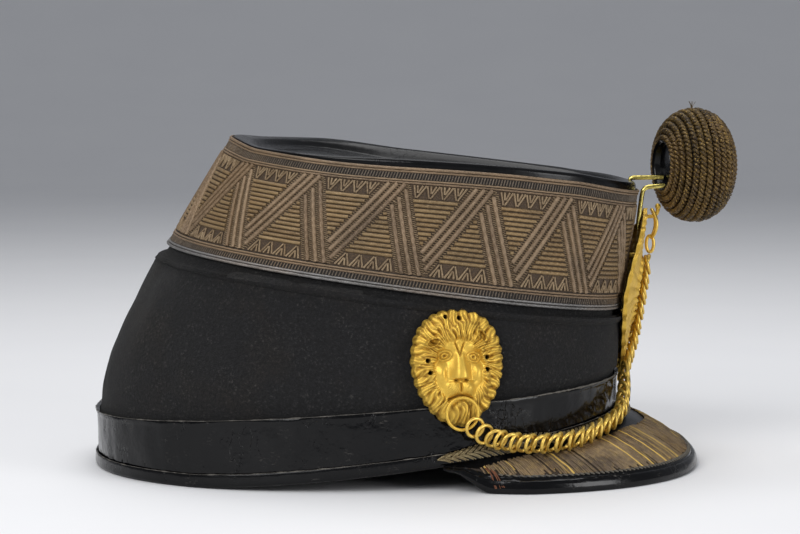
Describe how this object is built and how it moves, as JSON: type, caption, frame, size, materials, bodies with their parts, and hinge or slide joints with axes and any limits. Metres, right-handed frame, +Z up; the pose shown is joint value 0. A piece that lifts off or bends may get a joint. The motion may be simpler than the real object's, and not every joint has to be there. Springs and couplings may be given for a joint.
{
  "type": "shako hat",
  "caption": "Black felt shako with leather crown, headband and peak, gold lace band, gilt lion bosses, chin chain, front plate and bullion pompom.",
  "frame": {"origin": "middle of the footprint box, on the surface that the hat stands on", "axes": "+X to the wearer's front, +Y to the wearer's left, +Z up"},
  "size_m": [0.2592, 0.1844, 0.142],
  "materials": {
    "fur_felt": "matt black fur felt",
    "patent_leather": "glossy, crackled",
    "gold_lace": "tarnished metal thread",
    "gilt_brass": "matt gilt",
    "brass_wire": "polished",
    "gold_bullion": "twisted metal cord"
  },
  "bodies": {
    "root": {"body": "fur_felt", "crown_top": "patent_leather", "headband": "patent_leather", "rim_binding": "patent_leather", "lace_band": "gold_lace", "peak": "patent_leather", "peak_binding": "patent_leather", "peak_embroidery": "gold_lace", "peak_braid": "gold_lace", "boss_right": "gilt_brass", "boss_left": "gilt_brass", "boss_ring_right": "gilt_brass", "boss_ring_left": "gilt_brass", "chain_swag_right": "gilt_brass", "chain_front_right": "gilt_brass", "chain_rise_right": "gilt_brass", "chain_swag_left": "gilt_brass", "chain_front_left": "gilt_brass", "chain_rise_left": "gilt_brass", "chain_hook_link": "gilt_brass", "chain_join_link": "gilt_brass", "front_plate": "gilt_brass", "pompom": "gold_bullion", "pompom_base": "patent_leather", "pompom_wire_outer": "brass_wire", "pompom_wire_inner": "brass_wire", "chain_tongue": "patent_leather"}
  },
  "joints": []
}
